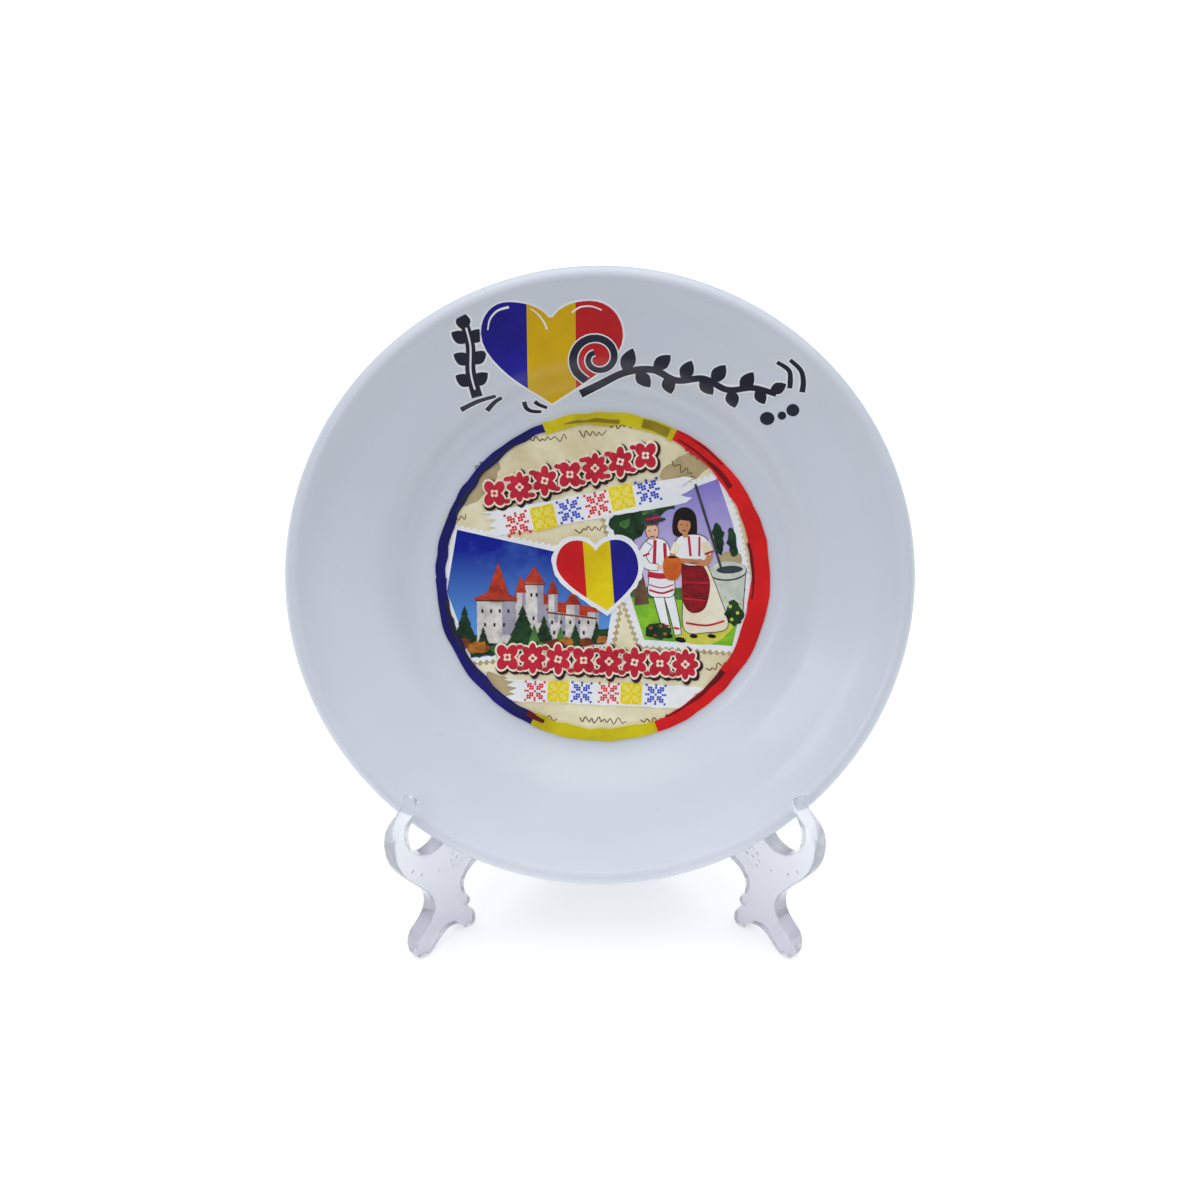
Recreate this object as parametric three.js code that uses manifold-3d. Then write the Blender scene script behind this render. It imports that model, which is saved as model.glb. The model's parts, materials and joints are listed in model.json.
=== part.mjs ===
// A glazed souvenir plate leaning in a folding stand of clear plastic. Millimetres, +Z up, the plate faces -Y.
// The stand is two flat wings that hinge about an upright rod behind the plate, and open like a V towards the front.
import * as THREE from "three";
import { mergeVertices } from "three/addons/utils/BufferGeometryUtils.js";
import Module from "manifold-3d";

const wasm = await Module();
wasm.setup();

const degree = Math.PI / 180;
const gap = 0.3; // between neighbours that only touch

const plate = {
  radius: 75, // to the outside of the lip
  depth: 18, // from the top of the lip to the foot ring
  lean: 18.5 * degree, // the face tips back from upright
  centreHeight: 94.2, // the middle of the lip's plane, above the table
  offCentre: 1.2, // the plate sits this far left of the stand's middle
  wellRadius: 42.5, // of the flat middle
  wellDepth: 13,
  rimStart: 54, // where the curved wall runs into the straight rim
  rimSlope: 0.306, // rise of the rim over its width
  lipRadius: 2.2,
  wall: 3.6,
  footRadius: 44,
  footWidth: 2.5,
  sides: 72,
};

const transfer = {
  lift: 0.4, // above the glaze
  thickness: 0.4,
  middleRadius: 40.6,
  middleShift: new THREE.Vector2(0.7, -1.1), // the print sits a little off centre
};

const stand = {
  halfOpening: 40 * degree, // between each wing and the plane of symmetry
  hingeBehind: 30, // the rod, behind the middle of the plate's lip
  innerFace: 0.5, // distance from the rod's axis to a wing's inner face
  thickness: 4.2,
  topHeight: 91,
  rearEdge: 5.2, // the panel's edge beside the hinge
};

const hinge = {
  rodRadius: 1.6,
  boreRadius: 1.9,
  knuckleRadius: 4.5,
  lugs: [[8, 18], [72, 82]], // heights of the left wing's lugs, which hold the rod
  clips: [[18.4, 30], [60, 71.6]], // heights of the right wing's clips, which snap on the rod
  clipSlot: 2.6,
  heel: [34, 56], // heights of the mitred heels that stop the wings when fully open
  heelReach: 6,
  sides: 28,
};

// Solids and their geometry

function toSolid(geometry) {
  const bare = geometry.index ? geometry.toNonIndexed() : geometry.clone();
  bare.deleteAttribute("normal");
  bare.deleteAttribute("uv");
  const merged = mergeVertices(bare, 1e-4);
  const mesh = new wasm.Mesh({
    numProp: 3,
    vertProperties: new Float32Array(merged.attributes.position.array),
    triVerts: new Uint32Array(merged.index.array),
  });
  return new wasm.Manifold(mesh);
}

function toGeometry(solid) {
  const mesh = solid.getMesh();
  const geometry = new THREE.BufferGeometry();
  geometry.setAttribute("position", new THREE.BufferAttribute(mesh.vertProperties, 3));
  geometry.setIndex(new THREE.BufferAttribute(mesh.triVerts, 1));
  const faceted = geometry.toNonIndexed();
  faceted.computeVertexNormals();
  return faceted;
}

function namedMesh(name, geometry, material) {
  const mesh = new THREE.Mesh(geometry, material);
  mesh.name = name;
  return mesh;
}

// The plate, turned about its own local Z, with its face towards +Z and the top of its lip at zero

function rimEnd() {
  const lipStep = 0.9; // the lip stands this far above the rim's end
  return new THREE.Vector2(plate.radius - plate.lipRadius * 1.8, -lipStep);
}

function rimStart() {
  const end = rimEnd();
  return new THREE.Vector2(plate.rimStart, end.y - (end.x - plate.rimStart) * plate.rimSlope);
}

function wallCurve() {
  const start = new THREE.Vector2(plate.wellRadius, -plate.wellDepth);
  const end = rimStart();
  const pull = 5; // length of each handle
  const leave = start.clone().add(new THREE.Vector2(pull, 0));
  const arrive = end.clone().sub(new THREE.Vector2(pull, pull * plate.rimSlope));
  return new THREE.CubicBezierCurve(start, leave, arrive, end);
}

function faceProfile(steps) {
  return [...wallCurve().getPoints(steps), rimEnd()];
}

function lipProfile() {
  const centre = new THREE.Vector2(plate.radius - plate.lipRadius, -plate.lipRadius);
  const arc = new THREE.EllipseCurve(
    centre.x, centre.y, plate.lipRadius, plate.lipRadius, 135 * degree, -90 * degree, true,
  );
  return arc.getPoints(8);
}

function backProfile() {
  const under = plate.wellDepth + plate.wall;
  const inside = plate.footRadius - plate.footWidth;
  return [
    new THREE.Vector2(70, -5.8),
    new THREE.Vector2(54, -11.2),
    new THREE.Vector2(49, -14.4),
    new THREE.Vector2(plate.footRadius + 0.8, -under),
    new THREE.Vector2(plate.footRadius, -plate.depth),
    new THREE.Vector2(inside, -plate.depth),
    new THREE.Vector2(inside - 0.8, -under),
    new THREE.Vector2(0, -under),
  ];
}

// A lathe about +Z, from a profile of radius and height
function turned(profile, sides) {
  return new THREE.LatheGeometry(profile, sides).rotateX(Math.PI / 2);
}

function plateGeometry() {
  const middle = new THREE.Vector2(0, -plate.wellDepth);
  const profile = [...backProfile().reverse(), ...lipProfile().reverse(), ...faceProfile(7).reverse(), middle];
  return turned(profile, plate.sides);
}

// The printed transfers: flat in the well, and following the face on the rim

function middleTransferGeometry() {
  const { lift, thickness, middleRadius, middleShift } = transfer;
  const height = lift + thickness / 2 - plate.wellDepth;
  return new THREE.CylinderGeometry(middleRadius, middleRadius, thickness, 64)
    .rotateX(Math.PI / 2)
    .translate(middleShift.x, middleShift.y, height);
}

function rimSkin() {
  const face = faceProfile(7);
  const under = face.map((point) => new THREE.Vector2(point.x, point.y + transfer.lift));
  const over = face.map((point) => new THREE.Vector2(point.x, point.y + transfer.lift + transfer.thickness));
  const profile = [...under, ...over.reverse(), under[0]];
  return toSolid(turned(profile, plate.sides));
}

function onRim(outline) {
  const cutter = new THREE.ExtrudeGeometry(outline, { depth: 20, bevelEnabled: false, curveSegments: 8 });
  cutter.translate(0, 0, -plate.depth);
  return toGeometry(rimSkin().intersect(toSolid(cutter)));
}

function heartOutline() {
  const tip = new THREE.Vector2(-11.4, 41.4);
  const width = 34;
  const height = 25;
  const notch = height * 0.8;
  const shape = new THREE.Shape();
  shape.moveTo(tip.x, tip.y);
  for (const side of [-1, 1]) {
    const edge = tip.x + (side * width) / 2;
    const low = tip.y + height * 0.3;
    const lobe = tip.x + side * width * 0.27;
    if (side < 0) {
      shape.quadraticCurveTo(edge, low, edge, tip.y + height * 0.62);
      shape.bezierCurveTo(edge, tip.y + height * 1.02, lobe + 6, tip.y + height * 1.12, tip.x, tip.y + notch);
    } else {
      shape.bezierCurveTo(lobe - 6, tip.y + height * 1.12, edge, tip.y + height * 1.02, edge, tip.y + height * 0.62);
      shape.quadraticCurveTo(edge, low, tip.x, tip.y);
    }
  }
  return shape;
}

// A stroke of even width along a smooth line
function strokeOutline(points, width) {
  const line = new THREE.SplineCurve(points.map(([x, y]) => new THREE.Vector2(x, y)));
  const steps = points.length * 3;
  const left = [];
  const right = [];
  for (let i = 0; i <= steps; i += 1) {
    const at = line.getPoint(i / steps);
    const along = line.getTangent(i / steps);
    const across = new THREE.Vector2(-along.y, along.x).multiplyScalar(width / 2);
    left.push(at.clone().add(across));
    right.push(at.clone().sub(across));
  }
  return new THREE.Shape([...left, ...right.reverse()]);
}

// The stand's wings. A wing's local x runs forward from the rod, y up, and z across its thickness

function wingOutline() {
  const { rearEdge, topHeight } = stand;
  const shape = new THREE.Shape();
  shape.moveTo(rearEdge, 0);
  shape.lineTo(15, 0);
  shape.bezierCurveTo(17.5, 14, 30, 20, 42, 19.5); // the large arch behind the leg
  shape.bezierCurveTo(50, 19, 54.5, 17.5, 53.2, 12.4);
  shape.lineTo(51.3, 8.3); // a small spur
  shape.lineTo(52.4, 6.6);
  shape.bezierCurveTo(49.2, 4.6, 48.6, 1, 50.9, 0);
  shape.lineTo(53, 0); // the rear toe
  shape.bezierCurveTo(55.6, 3.2, 58, 4.4, 60.6, 3.6);
  shape.bezierCurveTo(63.2, 2.6, 65, 0.6, 66.8, 0);
  shape.lineTo(68.8, 0); // the front toe
  shape.bezierCurveTo(71.6, 0.6, 72, 7, 69.2, 8.4);
  shape.bezierCurveTo(63.6, 11.4, 63.8, 15.6, 66.9, 19.4);
  shape.bezierCurveTo(71, 24.4, 77.4, 29, 77.4, 37);
  shape.bezierCurveTo(77.4, 42.2, 74.4, 43.2, 72.6, 44);
  shape.quadraticCurveTo(70, 45.4, 69.2, 47.8);
  shape.lineTo(68.4, 47.8); // the tip of the horn
  shape.bezierCurveTo(68.2, 43.8, 72.2, 42.6, 72, 38);
  shape.bezierCurveTo(71.8, 33.4, 68.4, 30.2, 65, 30.2);
  shape.quadraticCurveTo(61.2, 30.2, 58.8, 33.4); // the notch that holds the lip
  shape.lineTo(33.6, 50);
  shape.lineTo(31.2, 54);
  shape.lineTo(backRest(topHeight - 4), topHeight - 4); // the back rest
  shape.quadraticCurveTo(backRest(topHeight), topHeight, rearEdge + 5, topHeight);
  shape.quadraticCurveTo(rearEdge, topHeight, rearEdge, topHeight - 6);
  return shape;
}

// How far forward a wing may reach at a height, just behind the plate's foot ring
function backRest(height) {
  const clearance = 0.7;
  const below = plate.centreHeight - height;
  const ring = plate.depth / Math.cos(plate.lean) - below * Math.tan(plate.lean);
  const across = stand.innerFace * Math.sin(stand.halfOpening);
  return (stand.hingeBehind + across - ring) / Math.cos(stand.halfOpening) - clearance;
}

function block(fromX, toX, fromY, toY, side) {
  const near = stand.innerFace;
  const middle = near + stand.thickness / 2;
  return toSolid(
    new THREE.BoxGeometry(toX - fromX, toY - fromY, stand.thickness)
      .translate((fromX + toX) / 2, (fromY + toY) / 2, side * middle),
  );
}

function upright(radius, [from, to]) {
  return toSolid(new THREE.CylinderGeometry(radius, radius, to - from, hinge.sides).translate(0, (from + to) / 2, 0));
}

// The half space past the plane of symmetry, less a hair, as the wing stands when open
function beyondMiddle(side) {
  const size = 60;
  const box = new THREE.BoxGeometry(size, stand.topHeight * 2, size).translate(size / 2 - gap / 2, 0, 0);
  return toSolid(box.rotateY(side * (Math.PI / 2 + stand.halfOpening)));
}

function panel(side) {
  const from = side > 0 ? stand.innerFace : -stand.innerFace - stand.thickness;
  const extruded = new THREE.ExtrudeGeometry(wingOutline(), {
    depth: stand.thickness, bevelEnabled: false, curveSegments: 7,
  });
  return toSolid(extruded.translate(0, 0, from));
}

function heel(side) {
  return block(-hinge.heelReach, stand.rearEdge + 1, ...hinge.heel, side)
    .subtract(beyondMiddle(side))
    .subtract(upright(hinge.rodRadius + 2 * gap, hinge.heel));
}

function leftWingGeometry() {
  let solid = panel(1).add(heel(1));
  for (const lug of hinge.lugs) {
    solid = solid.add(upright(hinge.knuckleRadius, lug)).add(block(0, stand.rearEdge + 1, ...lug, 1));
  }
  const rod = upright(hinge.rodRadius, [hinge.lugs[0][1] - 1, hinge.lugs[1][0] + 1]);
  return toGeometry(solid.add(rod));
}

function rightWingGeometry() {
  let solid = panel(-1).add(heel(-1));
  for (const clip of hinge.clips) {
    const [from, to] = clip;
    const slot = new THREE.BoxGeometry(10, to - from + 2, hinge.clipSlot).translate(-5, (from + to) / 2, 0);
    const sleeve = upright(hinge.knuckleRadius, clip)
      .add(block(0, stand.rearEdge + 1, from, to, -1))
      .subtract(upright(hinge.boreRadius, [from - 1, to + 1]))
      .subtract(toSolid(slot));
    solid = solid.add(sleeve);
  }
  return toGeometry(solid);
}

// Materials

const glaze = new THREE.MeshStandardMaterial({ color: 0xf2f4f8, roughness: 0.15, metalness: 0 });
const clearPlastic = new THREE.MeshStandardMaterial({
  color: 0xe6e6f0, roughness: 0.08, metalness: 0, transparent: true, opacity: 0.35,
});
const printedPaper = new THREE.MeshStandardMaterial({ color: 0xd9cfae, roughness: 0.3, metalness: 0 });
const redInk = new THREE.MeshStandardMaterial({ color: 0xc8283c, roughness: 0.3, metalness: 0 });
const navyInk = new THREE.MeshStandardMaterial({ color: 0x262a38, roughness: 0.35, metalness: 0 });

// Assembly

function plateGroup() {
  const group = new THREE.Group();
  group.position.set(-plate.offCentre, 0, plate.centreHeight);
  group.rotation.x = Math.PI / 2 - plate.lean;
  const vine = strokeOutline([[9, 49.5], [15, 51], [22, 47], [29, 49], [36, 45], [43, 46.5]], 3);
  const sprig = strokeOutline([[-30.8, 45], [-31.2, 54], [-30.4, 63]], 4);
  group.add(
    namedMesh("plate", plateGeometry(), glaze),
    namedMesh("centre_transfer", middleTransferGeometry(), printedPaper),
    namedMesh("rim_heart_transfer", onRim(heartOutline()), redInk),
    namedMesh("rim_vine_transfer", onRim(vine), navyInk.clone()),
    namedMesh("rim_sprig_transfer", onRim(sprig), navyInk),
  );
  return group;
}

function wingPivot(name, geometry, side) {
  const pivot = new THREE.Group();
  pivot.position.y = stand.hingeBehind;
  pivot.rotation.z = -Math.PI / 2 - side * stand.halfOpening;
  const wing = namedMesh(name, geometry, clearPlastic.clone());
  wing.rotation.x = Math.PI / 2;
  pivot.add(wing);
  return pivot;
}

// The origin is under the middle of the whole object's box
function centred(assembly) {
  const box = new THREE.Box3().setFromObject(assembly, true);
  const middle = box.getCenter(new THREE.Vector3());
  assembly.position.set(-middle.x, -middle.y, -box.min.z);
  const root = new THREE.Group();
  root.add(assembly);
  return root;
}

const assembly = new THREE.Group();
assembly.add(
  plateGroup(),
  wingPivot("left_wing", leftWingGeometry(), 1),
  wingPivot("right_wing", rightWingGeometry(), -1),
);

export default centred(assembly);
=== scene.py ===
import json
import math
import random
import bpy
from mathutils import Matrix, Vector


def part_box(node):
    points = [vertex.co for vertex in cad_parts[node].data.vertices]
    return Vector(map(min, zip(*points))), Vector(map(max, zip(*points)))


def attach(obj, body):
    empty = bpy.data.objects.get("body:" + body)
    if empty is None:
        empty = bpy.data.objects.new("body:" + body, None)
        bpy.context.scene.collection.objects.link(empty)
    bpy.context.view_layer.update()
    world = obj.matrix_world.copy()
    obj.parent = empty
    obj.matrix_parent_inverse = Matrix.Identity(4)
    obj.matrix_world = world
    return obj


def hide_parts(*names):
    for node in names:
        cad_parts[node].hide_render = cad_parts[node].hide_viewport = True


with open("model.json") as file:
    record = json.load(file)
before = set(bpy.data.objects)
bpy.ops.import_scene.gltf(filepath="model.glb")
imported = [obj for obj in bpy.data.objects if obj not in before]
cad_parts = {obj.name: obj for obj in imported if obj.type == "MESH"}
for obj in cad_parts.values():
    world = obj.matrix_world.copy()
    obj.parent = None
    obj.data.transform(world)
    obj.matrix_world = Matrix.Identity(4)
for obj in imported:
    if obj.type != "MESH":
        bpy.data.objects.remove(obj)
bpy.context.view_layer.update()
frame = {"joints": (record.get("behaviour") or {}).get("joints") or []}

mm = 0.001
mergeDistance = 0.01 * mm


# Selecting and finishing

def deselectAll():
    bpy.ops.object.select_all(action="DESELECT")


def activate(obj):
    deselectAll()
    obj.select_set(True)
    bpy.context.view_layer.objects.active = obj


def selectAllIn(obj):
    activate(obj)
    bpy.ops.object.mode_set(mode="EDIT")
    bpy.ops.mesh.select_all(action="SELECT")


def mergeAndFaceOut(obj):
    selectAllIn(obj)
    bpy.ops.mesh.remove_doubles(threshold=mergeDistance)
    bpy.ops.mesh.normals_make_consistent(inside=False)
    bpy.ops.object.mode_set(mode="OBJECT")


def applyModifier(obj, kind, **settings):
    activate(obj)
    bpy.ops.object.modifier_add(type=kind)
    modifier = obj.modifiers[-1]
    for key, value in settings.items():
        setattr(modifier, key, value)
    bpy.ops.object.modifier_apply(modifier=modifier.name)


def applyTransform():
    bpy.ops.object.transform_apply(location=True, rotation=True, scale=True)


def place(obj, matrix):
    activate(obj)
    obj.matrix_world = matrix
    applyTransform()


def joinPieces(name, parts):
    deselectAll()
    for part in parts:
        part.select_set(True)
    bpy.context.view_layer.objects.active = parts[0]
    if len(parts) > 1:
        bpy.ops.object.join()
    joined = bpy.context.view_layer.objects.active
    joined.name = name
    joined.data.name = name
    return joined


def newCurve():
    bpy.ops.curve.primitive_bezier_curve_add()
    curve = bpy.context.object
    curve.data.splines.clear()
    return curve


def addPolyline(data, points, closed=False):
    spline = data.splines.new("POLY")
    spline.points.add(len(points) - 1)
    for point, spot in zip(spline.points, points):
        point.co = (*spot, 1)
    spline.use_cyclic_u = closed


def newBox(location, size):
    bpy.ops.mesh.primitive_cube_add(size=1, location=location)
    box = bpy.context.object
    box.scale = size
    applyTransform()
    return box


# Shader maths: an expression on wires adds its Math nodes

class Wire:
    def __init__(self, paint, socket):
        self.paint = paint
        self.socket = socket

    def calc(self, operation, first, second):
        return self.paint.add("ShaderNodeMath", {"operation": operation}, {0: first, 1: second})

    def __add__(self, other):
        return self.calc("ADD", self, other)

    def __mul__(self, other):
        return self.calc("MULTIPLY", self, other)

    def clamped(self):
        return self.paint.add("ShaderNodeClamp", {}, {0: self})


class Paint:
    def __init__(self, name, **constants):
        self.material = bpy.data.materials.new(name)
        self.material.use_nodes = True
        self.tree = self.material.node_tree
        self.shader = self.tree.nodes["Principled BSDF"]
        for socket, value in constants.items():
            self.shader.inputs[socket.replace("_", " ")].default_value = value

    def add(self, kind, settings, sockets, output=0):
        node = self.tree.nodes.new(kind)
        for key, value in settings.items():
            setattr(node, key, value)
        for key, value in sockets.items():
            if isinstance(value, Wire):
                self.tree.links.new(value.socket, node.inputs[key])
            else:
                node.inputs[key].default_value = value
        return Wire(self, node.outputs[output])

    def feed(self, socket, wire):
        self.tree.links.new(wire.socket, self.shader.inputs[socket])

    def place(self):
        return self.add("ShaderNodeTexCoord", {}, {}, "Object")

    def noise(self, vector, scale, detail=3.0, roughness=0.5):
        sockets = {"Vector": vector, "Scale": scale, "Detail": detail, "Roughness": roughness}
        return self.add("ShaderNodeTexNoise", {}, sockets, "Fac")

    def ramp(self, wire, low, high):
        sockets = {"Value": wire, "From Min": low, "From Max": high}
        return self.add("ShaderNodeMapRange", {}, sockets)

    def mix(self, factor, first, second):
        return self.add("ShaderNodeMix", {"data_type": "RGBA"}, {0: factor, 6: first, 7: second}, 2)

    def bump(self, height, strength, distance):
        wire = self.add("ShaderNodeBump", {}, {"Height": height, "Strength": strength, "Distance": distance})
        self.feed("Normal", wire)


class SkyPaint(Paint):
    def __init__(self, world):
        world.use_nodes = True
        self.tree = world.node_tree
        self.shader = self.tree.nodes["Background"]


def srgb(red, green, blue):
    def linear(value):
        value = value / 255
        return value / 12.92 if value <= 0.04045 else ((value + 0.055) / 1.055) ** 2.4
    return (linear(red), linear(green), linear(blue), 1.0)


# Where the plate sits: its face looks along the local Z, with the top of its lip at zero

plateSize = {
    "lean": math.radians(18.5),
    "lipRadius": 2.2 * mm,
    "wellRadius": 42.5 * mm,
    "wellDepth": 13 * mm,
    "rimStart": 54 * mm,
    "rimSlope": 0.306,
    "lipStep": 0.9 * mm,
    "wallPull": 5 * mm,
    "rimEndInLipRadii": 1.8,
    "wall": 3.6 * mm,
    "underRim": ((70 * mm, -5.8 * mm), (62 * mm, -8.5 * mm), (54 * mm, -11.2 * mm)),
    "underWall": ((51 * mm, -12.5 * mm), (50 * mm, -14 * mm)),
    "underWallEnd": 45.2 * mm,
    "footRadius": 44 * mm,
    "footWidth": 2.5 * mm,
    "footFillet": 0.5 * mm,
    "footFlare": 0.3 * mm,
    "depth": 18 * mm,
    "bareHeight": 0.05 * mm,
    "sides": 200,
}

plateLow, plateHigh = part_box("plate")
plateRadius = (plateHigh.x - plateLow.x) / 2
leanSin = math.sin(plateSize["lean"])
leanCos = math.cos(plateSize["lean"])
lipRing = plateRadius - plateSize["lipRadius"]
plateCentre = Vector((
    (plateHigh.x + plateLow.x) / 2,
    plateLow.y + lipRing * leanSin - plateSize["lipRadius"] * (leanCos - 1),
    plateHigh.z - lipRing * leanCos + plateSize["lipRadius"] * (leanSin - 1),
))
plateTurn = math.pi / 2 - plateSize["lean"]
plateMatrix = Matrix.Translation(plateCentre) @ Matrix.Rotation(plateTurn, 4, "X")


def bezier(start, leave, arrive, end, steps):
    points = []
    for i in range(steps + 1):
        t = i / steps
        s = 1 - t
        weights = (s ** 3, 3 * s * s * t, 3 * s * t * t, t ** 3)
        points.append(tuple(
            sum(w * p[axis] for w, p in zip(weights, (start, leave, arrive, end))) for axis in (0, 1)
        ))
    return points


def rimEnd():
    return plateRadius - plateSize["rimEndInLipRadii"] * plateSize["lipRadius"], -plateSize["lipStep"]


def rimBeginning():
    endRadius, endHeight = rimEnd()
    drop = (endRadius - plateSize["rimStart"]) * plateSize["rimSlope"]
    return plateSize["rimStart"], endHeight - drop


def wallCurve(steps):
    pull = plateSize["wallPull"]
    start = (plateSize["wellRadius"], -plateSize["wellDepth"])
    end = rimBeginning()
    leave = (start[0] + pull, start[1])
    arrive = (end[0] - pull, end[1] - pull * plateSize["rimSlope"])
    return bezier(start, leave, arrive, end, steps)


wallPoints = wallCurve(40)


def faceHeight(radius):
    if radius <= plateSize["wellRadius"]:
        return -plateSize["wellDepth"]
    if radius >= plateSize["rimStart"]:
        start, height = rimBeginning()
        return height + (radius - start) * plateSize["rimSlope"]
    for (r0, h0), (r1, h1) in zip(wallPoints, wallPoints[1:]):
        if radius <= r1:
            return h0 + (h1 - h0) * (radius - r0) / (r1 - r0)
    return wallPoints[-1][1]


print("plate at", [round(v / mm, 2) for v in plateCentre])


# Glazed ceramic: blue-white, faintly cloudy, with a soft ripple under the gloss

def plateCoordinates(paint):
    settings = {"vector_type": "TEXTURE"}
    sockets = {"Vector": paint.place(), "Location": plateCentre, "Rotation": (plateTurn, 0, 0)}
    return paint.add("ShaderNodeMapping", settings, sockets)


glazeLook = {
    "white": srgb(225, 230, 239),
    "cloud": srgb(216, 222, 232),
    "cloudRange": (0.2, 0.85),
    "speck": srgb(196, 196, 198),
    "speckRange": (0.79, 0.82),
    "speckStrength": 0.6,
    "roughness": 0.29,
    "roughnessVaries": 0.08,
}


def makeGlaze():
    look = glazeLook
    paint = Paint("blueWhiteGlaze", Coat_Weight=0.25, Coat_Roughness=0.08, IOR=1.5)
    where = plateCoordinates(paint)
    cloud = paint.ramp(paint.noise(where, 26, 3), *look["cloudRange"])
    speck = paint.ramp(paint.noise(where, 900, 1), *look["speckRange"])
    colour = paint.mix(cloud, look["white"], look["cloud"])
    paint.feed("Base Color", paint.mix(speck * look["speckStrength"], colour, look["speck"]))
    paint.feed("Roughness", paint.noise(where, 60, 2) * look["roughnessVaries"] + look["roughness"])
    ripple = paint.noise(where, 90, 2) + paint.noise(where, 420, 1) * 0.15
    paint.bump(ripple, 0.06, 0.0004)
    return paint.material


def makeBisque():
    paint = Paint("bareBisque", Roughness=0.85)
    where = plateCoordinates(paint)
    grain = paint.noise(where, 2200, 4)
    paint.feed("Base Color", paint.mix(grain, srgb(226, 219, 204), srgb(204, 194, 176)))
    paint.bump(grain, 0.4, 0.0001)
    return paint.material


glaze = makeGlaze()
bisque = makeBisque()


# The plate: a profile spun about the plate's own axis

def plateProfile():
    size = plateSize
    under = -size["wellDepth"] - size["wall"]
    footInside = size["footRadius"] - size["footWidth"]
    bottom = -size["depth"]
    lip = size["lipRadius"]
    centre = plateRadius - lip
    profile = [(0.0, -size["wellDepth"])]
    for step in (0.25, 0.5, 0.75):
        profile.append((size["wellRadius"] * step, -size["wellDepth"]))
    profile += wallCurve(14)
    profile.append(((size["rimStart"] + rimEnd()[0]) / 2, (rimBeginning()[1] + rimEnd()[1]) / 2))
    profile.append(rimEnd())
    lipStart, lipTurn, lipSteps = 135, 225, 12
    for i in range(lipSteps + 1):
        angle = math.radians(lipStart - i * lipTurn / lipSteps)
        profile.append((centre + lip * math.cos(angle), -lip + lip * math.sin(angle)))
    profile += size["underRim"]
    profile += bezier(size["underRim"][-1], *size["underWall"], (size["underWallEnd"], under), 6)[1:]
    fillet, flare = size["footFillet"], size["footFlare"]
    profile += [
        (size["footRadius"] + flare, under - 2 * flare),
        (size["footRadius"], bottom + fillet),
        (size["footRadius"] - fillet, bottom),
        (footInside + fillet, bottom),
        (footInside, bottom + fillet),
        (footInside - flare, under - fillet),
        (footInside - 4 * flare, under),
        (footInside / 2, under),
        (0.0, under),
    ]
    return profile


def makePlate():
    curve = newCurve()
    addPolyline(curve.data, [(radius, 0, height) for radius, height in plateProfile()])
    activate(curve)
    bpy.ops.object.convert(target="MESH")
    plate = bpy.context.object
    selectAllIn(plate)
    bpy.ops.mesh.spin(
        steps=plateSize["sides"], angle=math.tau, center=(0, 0, 0), axis=(0, 0, 1), use_auto_merge=True,
    )
    bpy.ops.object.mode_set(mode="OBJECT")
    mergeAndFaceOut(plate)
    plate.data.materials.append(glaze)
    plate.data.materials.append(bisque)
    bareBelow = plateSize["bareHeight"] - plateSize["depth"]
    for face in plate.data.polygons:
        face.use_smooth = True
        face.material_index = 1 if face.center.z < bareBelow else 0
    place(plate, plateMatrix)
    plate.name = "plateBody"
    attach(plate, "plate_body")
    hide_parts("plate")


makePlate()
print("plate spun")


# Clear moulded plastic, faintly lavender in its thickness, with painted shade: darker towards the table and
# lighter towards the top

plasticLook = {
    # low is the painted shade near the table, high the painted light near the top
    "low": srgb(217, 216, 227),
    "high": srgb(246, 249, 254),
    "paintedShadeFrom": 12 * mm,
    "paintedShadeTo": 55 * mm,
    "paintedShadeVaries": 0.02,
    "roughness": 0.06,
    "roughnessVaries": 0.1,
}


def makeClearPlastic():
    look = plasticLook
    paint = Paint(
        "clearMouldedPlastic", Transmission_Weight=0.76, IOR=1.3, Coat_Weight=0.6, Coat_Roughness=0.05,
    )
    where = paint.place()
    # painted shade and light: the colour runs from darker near the table to lighter near the top, with an
    # uneven edge
    height = paint.add("ShaderNodeSeparateXYZ", {}, {0: where}, "Z")
    uneven = height + paint.noise(where, 70, 2) * look["paintedShadeVaries"]
    paintedShadeRamp = paint.ramp(uneven, look["paintedShadeFrom"], look["paintedShadeTo"])
    paint.feed("Base Color", paint.mix(paintedShadeRamp, look["low"], look["high"]))
    paint.feed("Roughness", paint.noise(where, 160, 3) * look["roughnessVaries"] + look["roughness"])
    paint.bump(paint.noise(where, 55, 2), 0.15, 0.0005)
    return paint.material


clearPlastic = makeClearPlastic()

standSize = {
    "halfOpening": math.radians(40),
    "innerFace": 0.5 * mm,
    "thickness": 4.2 * mm,
    "edgeRound": 1.0 * mm,
    "slabRound": 0.5 * mm,
    "rearEdge": 5.2,
}

hingeSize = {
    "rodRadius": 1.6 * mm,
    "boreRadius": 1.9 * mm,
    "knuckleRadius": 4.5 * mm,
    "lugs": ((8, 18), (72, 82)),
    "clips": ((18.4, 30), (60, 71.6)),
    "clipSlot": 2.6 * mm,
    "slotReach": 10 * mm,
    "heel": (34, 56),
    "heelReach": 6 * mm,
    "gap": 0.3 * mm,
}

beadSize = {
    "ringCentre": (56, 24),
    "ringReach": (2.2, 2.6),
    "ringCount": 8,
    "loose": [(56, 24), (62.5, 23.5), (68.5, 25.5), (71.5, 28)],
    "radius": 0.55 * mm,
    "flatness": 0.5,
}

foldJoint = next(j for j in frame["joints"] if j["name"] == "stand_fold")
hingeAxis = Vector(foldJoint["pos_m"])


def wingMatrix(side):
    turn = -math.pi / 2 - side * standSize["halfOpening"]
    upright = Matrix.Rotation(turn, 4, "Z") @ Matrix.Rotation(math.pi / 2, 4, "X")
    return Matrix.Translation((hingeAxis.x, hingeAxis.y, 0)) @ upright


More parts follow.
